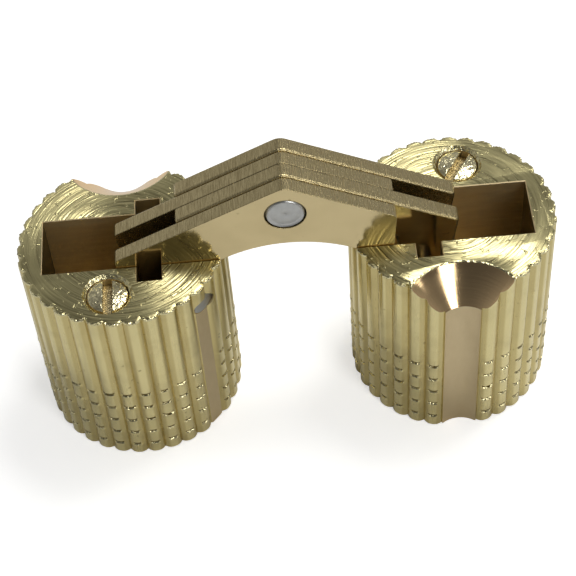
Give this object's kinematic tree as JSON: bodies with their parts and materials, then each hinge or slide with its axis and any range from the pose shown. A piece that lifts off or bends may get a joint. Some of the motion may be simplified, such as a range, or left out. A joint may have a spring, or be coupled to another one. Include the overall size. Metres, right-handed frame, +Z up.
{
  "type": "invisible barrel hinge",
  "caption": "Concealed hinge: reeded brass barrels joined by crossed link plates that fold into slots in the barrels.",
  "frame": {"origin": "midway between the two barrel axes, on the plane of the barrels' flat ends", "axes": "+X along the slots from the left barrel to the right barrel, +Z up along the barrel axes towards the links"},
  "size_m": [0.0464, 0.018, 0.0275],
  "materials": {
    "reeded_brass": "turned and reeded, bright",
    "plate_brass": "polished faces, sawn edges",
    "screw_brass": "turned, bright",
    "steel": "ground"
  },
  "bodies": {
    "left_barrel": {"left_barrel": "reeded_brass", "left_pivot_pin": "steel"},
    "left_link": {"left_link_front_plate": "plate_brass", "left_link_back_plate": "plate_brass", "centre_rivet": "steel", "right_guide_pin": "steel"},
    "right_link": {"right_link_front_plate": "plate_brass", "right_link_back_plate": "plate_brass", "left_guide_pin": "steel"},
    "right_barrel": {"right_barrel": "reeded_brass", "right_pivot_pin": "steel"},
    "left_screw": {"left_locking_screw": "screw_brass"},
    "right_screw": {"right_locking_screw": "screw_brass"}
  },
  "joints": [
    {"name": "left_pivot", "type": "hinge", "parent": "left_barrel", "child": "left_link", "pos_m": [-0.0075, 0, 0.017], "axis": [0, -1, 0], "range_deg": [0, 113.66]},
    {"name": "link_cross", "type": "hinge", "parent": "left_link", "child": "right_link", "pos_m": [0, 0, 0.0244], "axis": [0, 1, 0], "range_deg": [0, 47.32]},
    {"name": "right_pivot", "type": "hinge", "parent": "right_link", "child": "right_barrel", "pos_m": [0.0075, 0, 0.017], "axis": [0, -1, 0], "range_deg": [0, 113.66]},
    {"name": "left_screw_turn", "type": "hinge", "parent": "left_barrel", "child": "left_screw", "pos_m": [-0.0154, -0.0056, 0.0194], "axis": [0, 0, 1], "continuous": true},
    {"name": "right_screw_turn", "type": "hinge", "parent": "right_barrel", "child": "right_screw", "pos_m": [0.0154, 0.0056, 0.0194], "axis": [0, 0, 1], "continuous": true}
  ],
  "couplings": [
    {"joint": "link_cross", "follows": "left_pivot", "ratio": 0.41632},
    {"joint": "right_pivot", "follows": "left_pivot", "ratio": 1}
  ]
}
